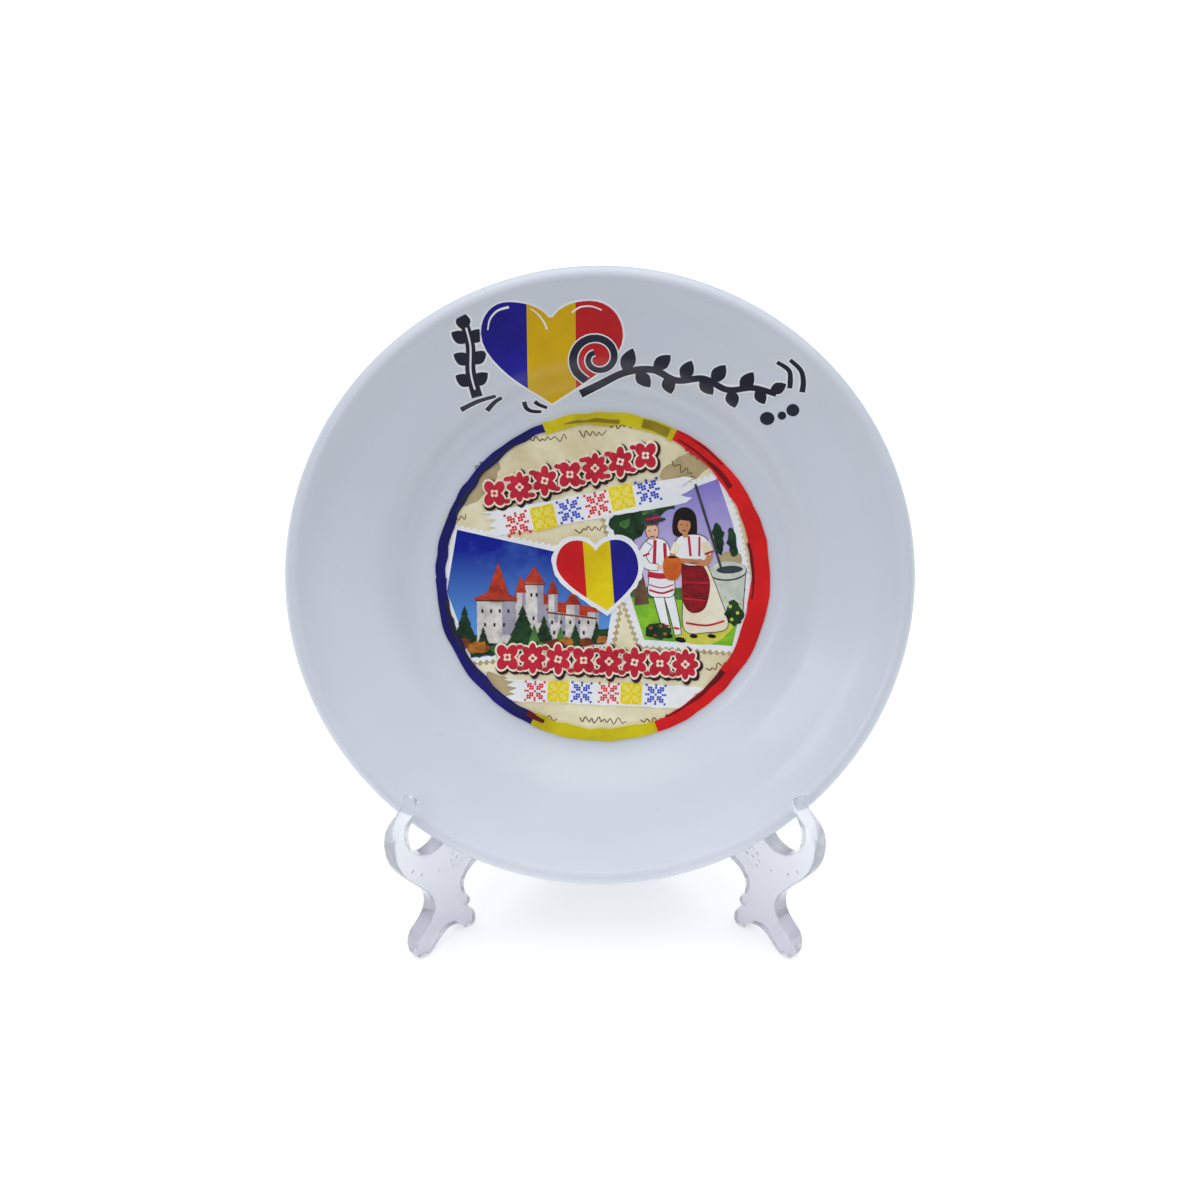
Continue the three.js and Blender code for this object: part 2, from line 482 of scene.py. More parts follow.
# The wing's outline, forward from the rod and up from the table: a line's end, or a curve's handles and end
wingStart = (5.2, 0)
wingPath = (
    ((15, 0),),
    ((17.5, 14), (30, 20), (42, 19.5)),
    ((50, 19), (54.5, 17.5), (53.2, 12.4)),
    ((53, 10.8), (51.4, 9.8), (51.3, 8.3)),
    ((51.2, 7.6), (52.4, 7.4), (52.4, 6.6)),
    ((49.2, 4.6), (48.6, 1), (50.9, 0)),
    ((53, 0),),
    ((55.6, 3.2), (58, 4.4), (60.6, 3.6)),
    ((63.2, 2.6), (65, 0.6), (66.8, 0)),
    ((68.8, 0),),
    ((71.6, 0.6), (72, 7), (69.2, 8.4)),
    ((63.6, 11.4), (63.8, 15.6), (66.9, 19.4)),
    ((71, 24.4), (77.4, 29), (77.4, 37)),
    ((77.4, 42.2), (74.4, 43.2), (72.6, 44)),
    ((70.9, 44.9), (69.9, 46), (69.5, 47.4)),
    ((69.3, 48), (68.5, 48), (68.4, 47.2)),
    ((68.2, 43.8), (72.2, 42.6), (72, 38)),
    ((71.8, 33.4), (68.4, 30.2), (65, 30.2)),
    ((62.4, 30.2), (60.4, 31.3), (58.8, 33.4)),
    ((33.6, 50),),
    ((31.2, 54),),
    ((16.1, 87),),
    ((14.6, 90.2), (12.8, 91), (10.2, 91)),
    ((7, 91), (5.2, 89), (5.2, 85)),
)


def wingOutline():
    points = [wingStart]
    for leg in wingPath:
        if len(leg) == 1:
            points.append(leg[0])
        else:
            points += bezier(points[-1], *leg, 8)[1:]
    return points


def extrudedOutline(points, depth, rounding):
    curve = newCurve()
    data = curve.data
    addPolyline(data, [(x * mm, y * mm, 0) for x, y in points], True)
    data.dimensions = "2D"
    data.fill_mode = "BOTH"
    data.extrude = depth / 2 - rounding
    data.bevel_depth = rounding
    data.bevel_resolution = 3
    data.offset = -rounding
    activate(curve)
    bpy.ops.object.convert(target="MESH")
    obj = bpy.context.object
    mergeAndFaceOut(obj)
    return obj


def uprightRod(radius, low, high, rounding=0.4 * mm):
    bpy.ops.mesh.primitive_cylinder_add(
        vertices=64, radius=radius, depth=(high - low) * mm, location=(0, (low + high) / 2 * mm, 0),
        rotation=(math.pi / 2, 0, 0),
    )
    rod = bpy.context.object
    applyTransform()
    if rounding:
        applyModifier(
            rod, "BEVEL", width=rounding, segments=3, limit_method="ANGLE", angle_limit=math.radians(50),
        )
    return rod


def slab(fromX, toX, fromY, toY, side):
    middle = side * (standSize["innerFace"] + standSize["thickness"] / 2)
    centre = ((fromX + toX) / 2, (fromY + toY) / 2, middle)
    box = newBox(centre, (toX - fromX, toY - fromY, standSize["thickness"]))
    applyModifier(box, "BEVEL", width=standSize["slabRound"], segments=3)
    return box


def combine(obj, other, operation):
    applyModifier(obj, "BOOLEAN", object=other, operation=operation, solver="EXACT")
    bpy.data.objects.remove(other)


def heelBlock(side):
    size = hingeSize
    low, high = size["heel"]
    heel = slab(-size["heelReach"], (standSize["rearEdge"] + 1) * mm, low * mm, high * mm, side)
    bpy.ops.mesh.primitive_cube_add(size=1, location=(0, 0, 0))
    cutter = bpy.context.object
    span, tall = 60 * mm, 200 * mm
    shift = Matrix.Translation((span / 2 - size["gap"] / 2, 0, 0))
    cutter.data.transform(shift @ Matrix.Diagonal((span, tall, span, 1)))
    cutter.data.transform(Matrix.Rotation(side * (math.pi / 2 + standSize["halfOpening"]), 4, "Y"))
    combine(heel, cutter, "DIFFERENCE")
    combine(heel, uprightRod(size["rodRadius"] + 2 * size["gap"], low - 1, high + 1, 0), "DIFFERENCE")
    return heel


def embossedBeads(side):
    # small raised beads, a ring of them at the back of the leg and a few in front
    (middleX, middleY), (reachX, reachY) = beadSize["ringCentre"], beadSize["ringReach"]
    angles = [i * math.tau / beadSize["ringCount"] for i in range(beadSize["ringCount"])]
    ring = [(middleX + reachX * math.cos(angle), middleY + reachY * math.sin(angle)) for angle in angles]
    beads = []
    for x, y in ring + beadSize["loose"]:
        location = (x * mm, y * mm, side * standSize["innerFace"])
        bpy.ops.mesh.primitive_uv_sphere_add(
            segments=16, ring_count=8, radius=beadSize["radius"], location=location,
        )
        bead = bpy.context.object
        bead.scale = (1, 1, beadSize["flatness"])
        applyTransform()
        beads.append(bead)
    return beads


def makeWing(name, side, body, node):
    size = hingeSize
    wing = extrudedOutline(wingOutline(), standSize["thickness"], standSize["edgeRound"])
    shift = side * (standSize["innerFace"] + standSize["thickness"] / 2)
    place(wing, Matrix.Translation((0, 0, shift)))
    combine(wing, heelBlock(side), "UNION")
    joinTo = (standSize["rearEdge"] + 1.5) * mm
    if side > 0:
        for low, high in size["lugs"]:
            lug = uprightRod(size["knuckleRadius"], low, high)
            combine(lug, slab(0, joinTo, low * mm, high * mm, side), "UNION")
            combine(wing, lug, "UNION")
        rod = uprightRod(size["rodRadius"], size["lugs"][0][1] - 2, size["lugs"][1][0] + 2, 0)
        combine(wing, rod, "UNION")
    else:
        for low, high in size["clips"]:
            clip = uprightRod(size["knuckleRadius"], low, high)
            combine(clip, slab(0, joinTo, low * mm, high * mm, side), "UNION")
            combine(clip, uprightRod(size["boreRadius"], low - 1, high + 1, 0), "DIFFERENCE")
            reach = size["slotReach"]
            slotCentre = (-reach / 2, (low + high) / 2 * mm, 0)
            combine(clip, newBox(slotCentre, (reach, (high - low + 2) * mm, size["clipSlot"])), "DIFFERENCE")
            combine(wing, clip, "UNION")
    for bead in embossedBeads(side):
        combine(wing, bead, "UNION")
    wing.data.materials.clear()
    wing.data.materials.append(clearPlastic)
    activate(wing)
    bpy.ops.object.shade_smooth_by_angle(angle=math.radians(35))
    place(wing, wingMatrix(side))
    wing.name = name
    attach(wing, body)
    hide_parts(node)


makeWing("leftStandWing", 1, "stand_left", "left_wing")
makeWing("rightStandWing", -1, "stand_right", "right_wing")
print("stand wings moulded")


# Flat shapes in the plate's own plane, in millimetres: right is u, up the face is v

def smooth(points, steps=6, closed=False):
    count = len(points)
    pick = (lambda i: points[i % count]) if closed else (lambda i: points[max(0, min(count - 1, i))])
    result = []
    for i in range(count if closed else count - 1):
        a, b, c, d = (pick(i + k) for k in (-1, 0, 1, 2))
        for k in range(steps):
            t = k / steps
            result.append(tuple(
                0.5 * (
                    2 * q + (r - p) * t + (
                        2 * p - 5 * q + 4 * r - s
                    ) * t * t + (3 * q - p - 3 * r + s) * t ** 3
                )
                for p, q, r, s in zip(a, b, c, d)
            ))
    return result if closed else result + [points[-1]]


def blob(points, steps=4):
    return smooth(points, steps, True)


def turned(points, u, v, turn):
    # turned by so many degrees, then moved to u and v
    sine, cosine = math.sin(math.radians(turn)), math.cos(math.radians(turn))
    return [(u + x * cosine - y * sine, v + x * sine + y * cosine) for x, y in points]


def oval(u, v, width, height, turn=0, count=20):
    angles = [i * math.tau / count for i in range(count)]
    points = [(width / 2 * math.cos(angle), height / 2 * math.sin(angle)) for angle in angles]
    return turned(points, u, v, turn)


def stroke(points, width, endWidth=None, steps=6):
    line = smooth(points, steps)
    endWidth = width if endWidth is None else endWidth
    left, right = [], []
    for i, (u, v) in enumerate(line):
        before, after = line[max(0, i - 1)], line[min(len(line) - 1, i + 1)]
        along = math.atan2(after[1] - before[1], after[0] - before[0])
        half = (width + (endWidth - width) * i / (len(line) - 1)) / 2
        left.append((u - half * math.sin(along), v + half * math.cos(along)))
        right.append((u + half * math.sin(along), v - half * math.cos(along)))
    return left + right[::-1]


def leaf(u, v, length, width, turn):
    side = smooth([(0, 0), (0.22, 0.36), (0.5, 0.5), (0.8, 0.3), (1, 0)], 3)
    shape = side + [(x, -y) for x, y in side[::-1][1:-1]]
    return turned([(x * length, y * width) for x, y in shape], u, v, turn)


def petals(u, v, radius, count, depth, turn=0, stretch=1.0):
    loop = []
    for i in range(count * 8):
        angle = i * math.tau / (count * 8)
        reach = radius * (1 - depth + depth * abs(math.cos(count * angle / 2)))
        loop.append((u + reach * math.cos(angle + turn), v + stretch * reach * math.sin(angle + turn)))
    return loop


def ragged(loop, amount, seed, step=1.2):
    chance = random.Random(seed)
    result = []
    for i, (u, v) in enumerate(loop):
        nextU, nextV = loop[(i + 1) % len(loop)]
        length = math.hypot(nextU - u, nextV - v)
        pieces = max(1, round(length / step))
        for k in range(pieces):
            t = k / pieces
            out = chance.uniform(-amount, amount)
            result.append((
                u + (nextU - u) * t + out * (nextV - v) / max(length, 0.01),
                v + (nextV - v) * t - out * (nextU - u) / max(length, 0.01),
            ))
    return result


def brushArc(centre, outer, widths, fromAngle, toAngle, seed, waver=0.3):
    # widths: where the stroke starts and where it ends
    chance = random.Random(seed)
    steps = max(3, round(abs(toAngle - fromAngle) / 4))
    rim, hub = [], []
    for i in range(steps + 1):
        angle = math.radians(fromAngle + (toAngle - fromAngle) * i / steps)
        far = outer + chance.uniform(-0.2, 0.2)
        near = outer - widths[0] - (widths[1] - widths[0]) * i / steps + chance.uniform(-waver, waver)
        rim.append((centre[0] + far * math.cos(angle), centre[1] + far * math.sin(angle)))
        hub.append((centre[0] + near * math.cos(angle), centre[1] + near * math.sin(angle)))
    return smooth(rim, 3) + smooth(hub, 3)[::-1]


def scalloped(corners, pitch=1.5, bite=0.55):
    loop = []
    for i, (u, v) in enumerate(corners):
        nextU, nextV = corners[(i + 1) % len(corners)]
        length = math.hypot(nextU - u, nextV - v)
        count = max(1, round(length / pitch))
        for k in range(count):
            for t, out in ((0.1, 0), (0.3, 0.85), (0.5, 1), (0.7, 0.85), (0.9, 0)):
                place = (k + t) / count
                loop.append((
                    u + (nextU - u) * place - out * bite * (nextV - v) / length,
                    v + (nextV - v) * place + out * bite * (nextU - u) / length,
                ))
    return loop


def moved(loop, right, up):
    return [(u + right, v + up) for u, v in loop]


def inset(corners, amount):
    middle = [sum(c[axis] for c in corners) / len(corners) for axis in (0, 1)]
    loop = []
    for u, v in corners:
        reach = math.hypot(u - middle[0], v - middle[1])
        loop.append(tuple(m + (p - m) * (reach - amount) / reach for p, m in zip((u, v), middle)))
    return loop


def cut(loop, point, turn):
    # keeps the part of the loop on the left of a line through the point
    turn = math.radians(turn)
    along = (math.cos(turn), math.sin(turn))

    def side(spot):
        return along[0] * (spot[1] - point[1]) - along[1] * (spot[0] - point[0])
    result = []
    for first, second in zip(loop, loop[1:] + loop[:1]):
        a, b = side(first), side(second)
        if a >= 0:
            result.append(first)
        if a * b < 0:
            t = a / (a - b)
            result.append((first[0] + (second[0] - first[0]) * t, first[1] + (second[1] - first[1]) * t))
    return result


def toward(start, end, across, up):
    # so much of the way from the start to the end
    return start[0] + across * (end[0] - start[0]), start[1] + up * (end[1] - start[1])


def heart(tip, left, leftTop, notch, rightTop, right):
    def arch(start, top, end):
        rise = bezier(start, toward(start, top, 0, 0.6), toward(top, start, 0.55, 0), top, 8)
        fall = bezier(top, toward(top, end, 0.5, 0), toward(end, top, 0.1, 0.6), end, 8)
        return rise[:-1] + fall
    low, high = (0.3, 0.2), (1, 0.6)
    rising = bezier(tip, toward(tip, left, *low), toward(tip, left, *high), left, 10)
    falling = bezier(right, toward(tip, right, *high), toward(tip, right, *low), tip, 10)
    leftArch, rightArch = arch(left, leftTop, notch), arch(right, rightTop, notch)
    return rising[:-1] + leftArch[:-1] + rightArch[::-1][1:-1] + falling[:-1]


def grown(loop, amount):
    # moves each point outward across the loop's direction
    turn = sum(a[0] * b[1] - b[0] * a[1] for a, b in zip(loop, loop[1:] + loop[:1]))
    sign = 1 if turn > 0 else -1
    result = []
    for before, spot, after in zip(loop[-1:] + loop[:-1], loop, loop[1:] + loop[:1]):
        along = math.atan2(after[1] - before[1], after[0] - before[0])
        result.append((spot[0] + sign * amount * math.sin(along), spot[1] - sign * amount * math.cos(along)))
    return result


def strokes(*lines):
    return [stroke(*line) for line in lines]


def dots(*spots):
    return [oval(*spot, 0, 8) for spot in spots]


def faceMarks(leftEye, rightEye, width, mouth):
    return dots((*leftEye, width, width), (*rightEye, width, width)) + [stroke(*mouth)]


def outlined(under, over, ink, loop, amount):
    # a shape with a thin dark edge under it
    return [(under, "shadow", [grown(loop, amount)]), (over, ink, [loop])]


# Inks under the glaze: each mottled between two tones

inkTones = {
    "parchment": ((250, 243, 210), (220, 203, 158), 60),
    "sepia": ((120, 92, 62), (96, 70, 44), 200),
    "umber": ((206, 188, 146), (176, 154, 112), 90),
    "cobalt": ((62, 84, 212), (40, 60, 184), 160),
    "straw": ((252, 240, 130), (244, 226, 90), 120),
    "gold": ((232, 188, 12), (214, 168, 8), 60),
    "scarlet": ((212, 38, 40), (186, 28, 32), 60),
    "blue": ((36, 30, 160), (22, 16, 118), 60),
    "navy": ((30, 26, 124), (14, 12, 78), 60),
    "mustard": ((226, 210, 22), (184, 164, 10), 60),
    "yellow": ((250, 226, 16), (222, 190, 8), 60),
    "red": ((240, 32, 30), (205, 18, 24), 60),
    "maroon": ((128, 14, 22), (92, 10, 18), 120),
    "olive": ((158, 140, 28), (120, 100, 20), 120),
    "white": ((252, 252, 252), (236, 238, 244), 120),
    "cream": ((252, 244, 226), (236, 222, 190), 120),
    "crimson": ((218, 44, 66), (176, 22, 48), 160),
    "shadow": ((64, 26, 30), (44, 18, 24), 120),
    "wall": ((240, 235, 228), (186, 178, 178), 300),
    "wallShade": ((176, 172, 186), (150, 146, 164), 300),
    "roof": ((214, 70, 40), (138, 36, 26), 340),
    "fir": ((40, 78, 40), (14, 34, 24), 420),
    "autumn": ((206, 128, 44), (120, 62, 28), 420),
    "leafGreen": ((92, 140, 60), (40, 84, 40), 420),
    "dusk": ((70, 74, 84), (44, 46, 58), 300),
    "bark": ((122, 92, 66), (84, 60, 44), 300),
    "skin": ((246, 198, 168), (232, 176, 144), 90),
    "tan": ((216, 152, 108), (198, 130, 86), 90),
    "hair": ((34, 24, 22), (22, 16, 16), 90),
    "wool": ((160, 26, 36), (96, 14, 26), 500),
    "clay": ((232, 122, 44), (196, 84, 28), 200),
    "stone": ((224, 230, 216), (190, 198, 182), 300),
    "grass": ((150, 206, 50), (84, 160, 40), 200),
    "rust": ((150, 70, 36), (92, 40, 28), 420),
    "meadow": ((226, 218, 84), (190, 200, 70), 200),
    "lineInk": ((44, 48, 64), (30, 32, 46), 90),
}


def inkPaint(name, **constants):
    paint = Paint(name + "Ink", Coat_Weight=0.15, Coat_Roughness=0.1, Specular_IOR_Level=0.3, **constants)
    return paint, plateCoordinates(paint)


def makeInk(name):
    light, dark, scale = inkTones[name]
    paint, where = inkPaint(name)
    patch = paint.ramp(paint.noise(where, scale, 4, 0.65), 0.34, 0.68)
    paint.feed("Base Color", paint.mix(patch, srgb(*light), srgb(*dark)))
    paint.feed("Roughness", patch * 0.1 + 0.28)
    return paint.material


def makeSkyInk(name, low, lowColour, high, highColour, cloud):
    paint, where = inkPaint(name, Roughness=0.3)
    height = paint.add("ShaderNodeSeparateXYZ", {}, {0: where}, "Y")
    climb = paint.ramp(height, low * mm, high * mm)
    puff = paint.ramp(paint.noise(where, 110, 4, 0.6), 0.52, 0.75)
    sky = paint.mix(climb, srgb(*lowColour), srgb(*highColour))
    paint.feed("Base Color", paint.mix(puff * 0.3, sky, srgb(*cloud)))
    return paint.material


inks = {name: makeInk(name) for name in inkTones}
inks["blueSky"] = makeSkyInk("blueSky", -15, (96, 158, 232), 6, (8, 26, 150), (96, 150, 226))
inks["lilacSky"] = makeSkyInk("lilacSky", -6, (226, 214, 240), 22, (138, 126, 208), (196, 188, 236))

# each layer lies one step above the one before it, and the grid is in millimetres
printSetup = {
    "lift": 0.05 * mm,
    "step": 0.015 * mm,
    "rimStep": 0.035 * mm,
    "thickness": 0.45 * mm,
    "grid": 1,
}


def flatShapes(layer, ink, loops):
    data = bpy.data.curves.new(ink, "CURVE")
    data.dimensions = "2D"
    data.fill_mode = "FRONT"
    for loop in loops:
        addPolyline(data, [(u * mm, v * mm, 0) for u, v in loop], True)
    data.materials.append(inks[ink])
    obj = bpy.data.objects.new(ink, data)
    onRim = max(v for u, v in loops[0]) > plateSize["wellRadius"] / mm
    obj.location.z = printSetup["lift"] + layer * printSetup["rimStep" if onRim else "step"]
    bpy.context.collection.objects.link(obj)
    return obj


def sliceIntoGrid(obj):
    selectAllIn(obj)
    low, high = obj.bound_box[0], obj.bound_box[6]
    grid = printSetup["grid"]
    for axis in (0, 1):
        normal = [0, 0, 0]
        normal[axis] = 1
        for k in range(math.ceil(low[axis] / mm / grid), math.floor(high[axis] / mm / grid) + 1):
            at = [0, 0, 0]
            at[axis] = k * grid * mm
            bpy.ops.mesh.select_all(action="SELECT")
            bpy.ops.mesh.bisect(plane_co=at, plane_no=normal)
    bpy.ops.object.mode_set(mode="OBJECT")


def printPicture(name, shapes, replaced=()):
    # every shape is a thin film that lies on the glaze
    parts = [flatShapes(*shape) for shape in shapes]
    deselectAll()
    for part in parts:
        part.select_set(True)
    bpy.context.view_layer.objects.active = parts[0]
    bpy.ops.object.convert(target="MESH")
    parts = list(bpy.context.selected_objects)
    bpy.ops.object.transform_apply(location=True, rotation=False, scale=False)
    picture = joinPieces(name, parts)
    furthest = max(math.hypot(v.co.x, v.co.y) for v in picture.data.vertices)
    if furthest > plateSize["wellRadius"]:
        sliceIntoGrid(picture)
    for vertex in picture.data.vertices:
        vertex.co.z += faceHeight(math.hypot(vertex.co.x, vertex.co.y))
    applyModifier(picture, "SOLIDIFY", thickness=printSetup["thickness"], offset=-1)
    activate(picture)
    bpy.ops.object.shade_smooth_by_angle(angle=math.radians(50))
    place(picture, plateMatrix)
    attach(picture, "plate_body")
    if replaced:
        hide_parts(*replaced)
    print(name, len(picture.data.polygons))


# The well's round picture: parchment, faint pen waves and a brushed ring in three colours

discSize = {"centre": (0.7, -1.1), "radius": 39.9, "ring": 40.5}


def penWave(u, v, length, turn, seed):
    chance = random.Random(seed)
    points = []
    along, rising = 0.0, True
    while along < length:
        points.append((along, chance.uniform(0.2, 1.1) if rising else chance.uniform(-0.7, 0)))
        along += chance.uniform(0.45, 1.15)
        rising = not rising
    return stroke(turned(points, u, v, turn), 0.3, 0.2, 4)


penWaves = (
    (-17, 32.5, 9, 4, 17), (-5, 34, 7, 0, 2), (2, 36.2, 8, -4, 3), (-30.5, 23.5, 5, 60, 4),
    (17, 27, 7, -30, 5), (20, 31, 5, -38, 6), (-36, 13.5, 4, 10, 7), (-6, 10.5, 8, 8, 8),
    (-20, -35, 10, -8, 9), (-5, -36.5, 12, -3, 10), (10, -37, 8, 8, 11), (26, -24, 8, 20, 12),
    (-33, -24, 6, -30, 13), (27, -29, 5, 40, 14),
)

stains = (
    (21, [(-33, 17), (-29, 26), (-24, 27), (-27, 20)]),
    (22, [(14, 24), (22, 30), (27, 27), (20, 22)]),
    (23, [(-27, -24), (-20, -28), (-20, -32), (-27, -27)]),
)


def ringArcs(*arcs):
    # each: how far inside the ring, the widths, both angles, the seed, and how much it wavers
    return [brushArc(discSize["centre"], discSize["ring"] - inward, *rest) for inward, *rest in arcs]


def backgroundShapes():
    across = 2 * discSize["radius"]
    return [
        (0, "parchment", [oval(*discSize["centre"], across, across, 0, 96)]),
        (1, "umber", [ragged(blob(stain), 0.3, seed) for seed, stain in stains]),
        (2, "sepia", [penWave(*wave) for wave in penWaves]),
        (28, "navy", ringArcs((0, (2.0, 2.6), 110.5, 180, 31), (0, (2.6, 3.0), 180, 245, 30))),
        (29, "mustard", ringArcs((0, (3.2, 2.6), 64, 111, 32), (0, (3.2, 3.0), -116, -70.5, 33))),
        (28, "red", ringArcs((0, (2.8, 4.8), -71, -10, 34), (0, (4.8, 3.0), -10, 64.5, 29))),
        (30, "maroon", ringArcs(
            (2.6, (0.4, 1.4), -66, -38, 35, 0.15), (1.9, (1.4, 0.4), 36, 62, 36, 0.15),
            (3.9, (0.3, 0.8), -8, 14, 37, 0.15), (1.6, (1.4, 0.8), -119, -112, 38, 0.15),
            (0.2, (0.5, 0.2), 44, 63, 43, 0.1),
        )),
        (30, "olive", ringArcs((0.3, (2.5, 2.2), 66, 76, 39, 0.2), (1.5, (1.2, 0.4), 84, 104, 40, 0.15))),
        (30, "lineInk", ringArcs((1.3, (0.3, 0.9), 116, 156, 41, 0.1), (1.7, (0.9, 0.3), 188, 240, 42, 0.1))),
    ]


stitches = (
    "#...#...#",
    ".##.#.##.",
    ".###.###.",
    "..##.##..",
    "##..#..##",
    "..##.##..",
    ".###.###.",
    ".##.#.##.",
    "#...#...#",
)


def stitchMotif(u, v, size, turn):
    # a square of little cross-stitches
    cell = size / len(stitches)
    half = 0.44 * cell
    loops = []
    for row, line in enumerate(stitches):
        for column, mark in enumerate(line):
            if mark == "#":
                x, y = (column - 4) * cell, (4 - row) * cell
                corners = [
                    (x - half, y - half), (x + half, y - half), (x + half, y + half), (x - half, y + half),
                ]
                loops.append(turned(corners, u, v, turn))
    return loops


def stitchSquare(ink, u, v, size, turn):
    stitched = stitchMotif(u, v, size, turn)
    if ink != "yellow":
        return [(21, ink, stitched)]
    half = size / math.sqrt(2)
    corners = [math.radians(turn + 45 + 90 * i) for i in range(4)]
    square = [(u + half * math.cos(angle), v + half * math.sin(angle)) for angle in corners]
    return [(21, "yellow", [square]), (22, "straw", stitched)]


def tornRibbon(start, end, width, seed):
    length = math.hypot(end[0] - start[0], end[1] - start[1])
    along = ((end[0] - start[0]) / length, (end[1] - start[1]) / length)
    near = (
        (0, 0.45), (2.6, 0.38), (0.8, 0.2), (3.4, 0.1), (1.4, -0.08), (3, -0.2), (0.4, -0.34), (2.4, -0.5),
    )
    far = ((-1.6, -0.5), (0, -0.36), (-2.6, -0.2), (0.6, 0), (-2.2, 0.16), (1, 0.36), (-1, 0.5))
    loop = []
    for x, y in near + tuple((length + x, y) for x, y in far):
        side = y * width
        loop.append((start[0] + x * along[0] - side * along[1], start[1] + x * along[1] + side * along[0]))
    return ragged(loop, 0.14, seed, 1.6)


flowerKinds = ((4, 0.5, math.pi / 4), (8, 0.3, 0), (6, 0.4, math.pi / 6))


def folkBand(start, end, count, radius, layer):
    # a row of embroidered flowers with a pale edge and a dark shadow
    half = tuple((b - a) / (count - 1) / 2 for a, b in zip(start, end))
    shapes = []
    for i in range(count):
        u, v = start[0] + 2 * i * half[0], start[1] + 2 * i * half[1]
        petalCount, depth, turn = flowerKinds[i % len(flowerKinds)]
        shapes += [
            (layer, "shadow", [petals(u + 0.4, v - 0.4, radius + 0.8, petalCount, depth * 0.7, turn, 1.2)]),
            (layer + 1, "cream", [petals(u, v, radius + 0.45, petalCount, depth * 0.75, turn, 1.2)]),
            (layer + 2, "crimson", [petals(u, v, radius, petalCount, depth, turn, 1.2)]),
            (layer + 3, "cream", [petals(u, v, radius * 0.34, 4, 0.4, turn)]),
            (layer + 4, "crimson", [oval(u, v, 0.8, 0.8, 0, 10)]),
        ]
    for i in range(count - 1):
        u, v = start[0] + (2 * i + 1) * half[0], start[1] + (2 * i + 1) * half[1]
        for lift in (2.7, -2.7):
            shapes += [
                (layer, "shadow", [oval(u + 0.3, v + lift - 0.3, 2.6, 2.2, 0, 12)]),
                (layer + 1, "cream", [oval(u, v + lift, 2.3, 1.9, 0, 12)]),
                (layer + 3, "crimson", [oval(u, v + lift, 1.6, 1.2, 0, 12)]),
            ]
    return shapes


upperSquares = (
    ("red", -19.9, 12.4), ("yellow", -13.6, 13.9), ("cobalt", -7.3, 15.6),
    ("red", -0.7, 17.2), ("yellow", 5.3, 18.8), ("cobalt", 11.6, 20.4),
)
lowerSquares = (
    ("red", -15.9, -29.1), ("yellow", -10.2, -29.3), ("cobalt", -4.5, -29.4),
    ("red", 2.1, -29.6), ("yellow", 7.6, -29.8), ("cobalt", 13.6, -30),
)


def ribbonShapes():
    shapes = [
        (20, "white", [tornRibbon((-28.2, 12.1), (21.8, 20.9), 6.4, 51)]),
        (20, "white", [tornRibbon((-23.6, -28.7), (25.0, -30.9), 5.6, 53)]),
    ]
    for squares, size, turn in ((upperSquares, 5.8, 13), (lowerSquares, 5.2, -3)):
        for ink, u, v in squares:
            shapes += stitchSquare(ink, u, v, size, turn)
    shapes += folkBand((-25.4, 19.8), (10.9, 29.0), 7, 3.1, 23)
    return shapes + folkBand((-22.6, -20.6), (20.8, -22.4), 8, 3.2, 23)


# A generic hill castle under a blue sky

def fir(u, top, width, height):
    loop = []
    half = width / 2
    for i in range(4):
        y = top - height * (i + 1) / 4
        loop += [(half * (i + 1) / 4 + 0.1, y), (half * (i + 0.6) / 4, y + 0.15)]
    right = [(u + x, y) for x, y in loop]
    left = [(u - x, y) for x, y in loop[::-1]]
    return [(u, top)] + right + left


def roofed(u, width, top, bottom, roofTop, eave=0.6):
    half = width / 2
    body = [(u - half, bottom), (u + half, bottom), (u + half, top), (u - half, top)]
    shade = [(u + half * 0.3, bottom), (u + half, bottom), (u + half, top), (u + half * 0.3, top)]
    roof = [(u - half - eave, top), (u + half + eave, top), (u + 0.12, roofTop), (u - 0.12, roofTop)]
    return body, shade, roof


def windowRow(u, v, count, pitch):
    places = [u + i * pitch for i in range(count)]
    return [[(x, v), (x + 0.5, v), (x + 0.5, v + 0.9), (x, v + 0.9)] for x in places]


def firs(*spots):
    return [fir(*spot) for spot in spots]


